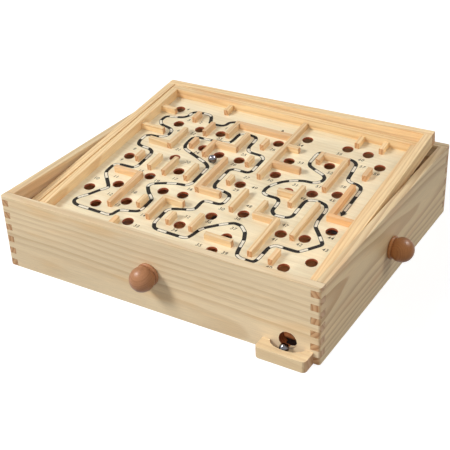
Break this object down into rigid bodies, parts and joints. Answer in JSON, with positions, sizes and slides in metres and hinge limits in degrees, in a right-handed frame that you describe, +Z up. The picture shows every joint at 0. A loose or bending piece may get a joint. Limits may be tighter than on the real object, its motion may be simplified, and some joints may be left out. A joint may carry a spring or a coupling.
{
  "type": "tilting labyrinth game",
  "caption": "Wooden labyrinth game: a finger-jointed case with two nested tilting frames, a maze board with holes, two control knobs, a ball return and a catch tray.",
  "frame": {"origin": "centre of the case's footprint, on the underside of the base", "axes": "+X to the right along the front wall that has the ball exit, +Y from the front wall to the back wall, +Z up"},
  "size_m": [0.3677, 0.3227, 0.0964],
  "materials": {
    "case_wood": "sanded pine with a clear matt finish",
    "frame_wood": "sanded pine with a clear matt finish",
    "board_wood": "pale printed plywood",
    "maze_wood": "sanded pine",
    "tray_wood": "sanded pine with a clear matt finish",
    "base_wood": "plain plywood",
    "knob_wood": "turned hardwood with a glossy lacquer",
    "steel": "plain drawn steel",
    "ball_steel": "polished steel",
    "cord": "twisted white cord"
  },
  "bodies": {
    "case": {"front_wall": "case_wood", "back_wall": "case_wood", "left_wall": "case_wood", "right_wall": "case_wood", "base_panel": "base_wood", "return_ramp": "base_wood", "catch_tray": "tray_wood", "left_pivot_pin": "steel", "right_pivot_pin": "steel"},
    "outer_frame": {"outer_frame_front_rail": "frame_wood", "outer_frame_back_rail": "frame_wood", "outer_frame_left_rail": "frame_wood", "outer_frame_right_rail": "frame_wood", "front_pivot_pin": "steel", "back_pivot_pin": "steel", "outer_frame_cord": "cord", "outer_frame_spring": "steel"},
    "inner_frame": {"inner_frame_front_rail": "frame_wood", "inner_frame_back_rail": "frame_wood", "inner_frame_left_rail": "frame_wood", "inner_frame_right_rail": "frame_wood", "play_board": "board_wood", "maze_wall_01": "maze_wood", "maze_wall_02": "maze_wood", "maze_wall_03": "maze_wood", "maze_wall_04": "maze_wood", "maze_wall_05": "maze_wood", "maze_wall_06": "maze_wood", "maze_wall_07": "maze_wood", "maze_wall_08": "maze_wood", "maze_wall_09": "maze_wood", "maze_wall_10": "maze_wood", "maze_wall_11": "maze_wood", "maze_wall_12": "maze_wood", "maze_wall_13": "maze_wood", "maze_wall_14": "maze_wood", "maze_wall_15": "maze_wood", "maze_wall_16": "maze_wood", "maze_wall_17": "maze_wood", "maze_wall_18": "maze_wood", "maze_wall_19": "maze_wood", "maze_wall_20": "maze_wood", "maze_wall_21": "maze_wood", "maze_wall_22": "maze_wood", "maze_wall_23": "maze_wood", "maze_wall_24": "maze_wood", "maze_wall_25": "maze_wood", "maze_wall_26": "maze_wood", "maze_wall_27": "maze_wood", "inner_frame_cord": "cord", "inner_frame_spring": "steel"},
    "front_control": {"front_knob": "knob_wood", "front_shaft": "steel", "front_collar": "steel"},
    "right_control": {"right_knob": "knob_wood", "right_shaft": "steel", "right_collar": "steel"},
    "board_ball": {"board_ball": "ball_steel"},
    "tray_ball": {"tray_ball": "ball_steel"}
  },
  "joints": [
    {"name": "outer_frame_tilt", "type": "hinge", "parent": "case", "child": "outer_frame", "pos_m": [0, 0, 0.07], "axis": [1, 0, 0], "range_deg": [-15.5, 0.5], "deforming": ["outer_frame_cord"]},
    {"name": "inner_frame_tilt", "type": "hinge", "parent": "outer_frame", "child": "inner_frame", "pos_m": [0, 0, 0.07], "axis": [0, 0.9915, 0.1302], "range_deg": [-9, 5], "deforming": ["inner_frame_cord"]},
    {"name": "right_knob_turn", "type": "hinge", "parent": "case", "child": "right_control", "pos_m": [0.1725, 0, 0.036], "axis": [1, 0, 0], "range_deg": [-199, 7]},
    {"name": "front_knob_turn", "type": "hinge", "parent": "case", "child": "front_control", "pos_m": [0, -0.15, 0.0405], "axis": [0, 1, 0], "range_deg": [-103, 58]},
    {"name": "board_ball_roll", "type": "slide", "parent": "inner_frame", "child": "board_ball", "axis": [0, -0.9915, -0.1302], "range_m": [0, 0.03]},
    {"name": "tray_ball_lift", "type": "slide", "parent": "case", "child": "tray_ball", "axis": [0, -0.1, 0.995], "range_m": [0, 0.025]}
  ],
  "couplings": [
    {"joint": "right_knob_turn", "follows": "outer_frame_tilt", "ratio": 12.8},
    {"joint": "front_knob_turn", "follows": "inner_frame_tilt", "ratio": 11.4}
  ]
}
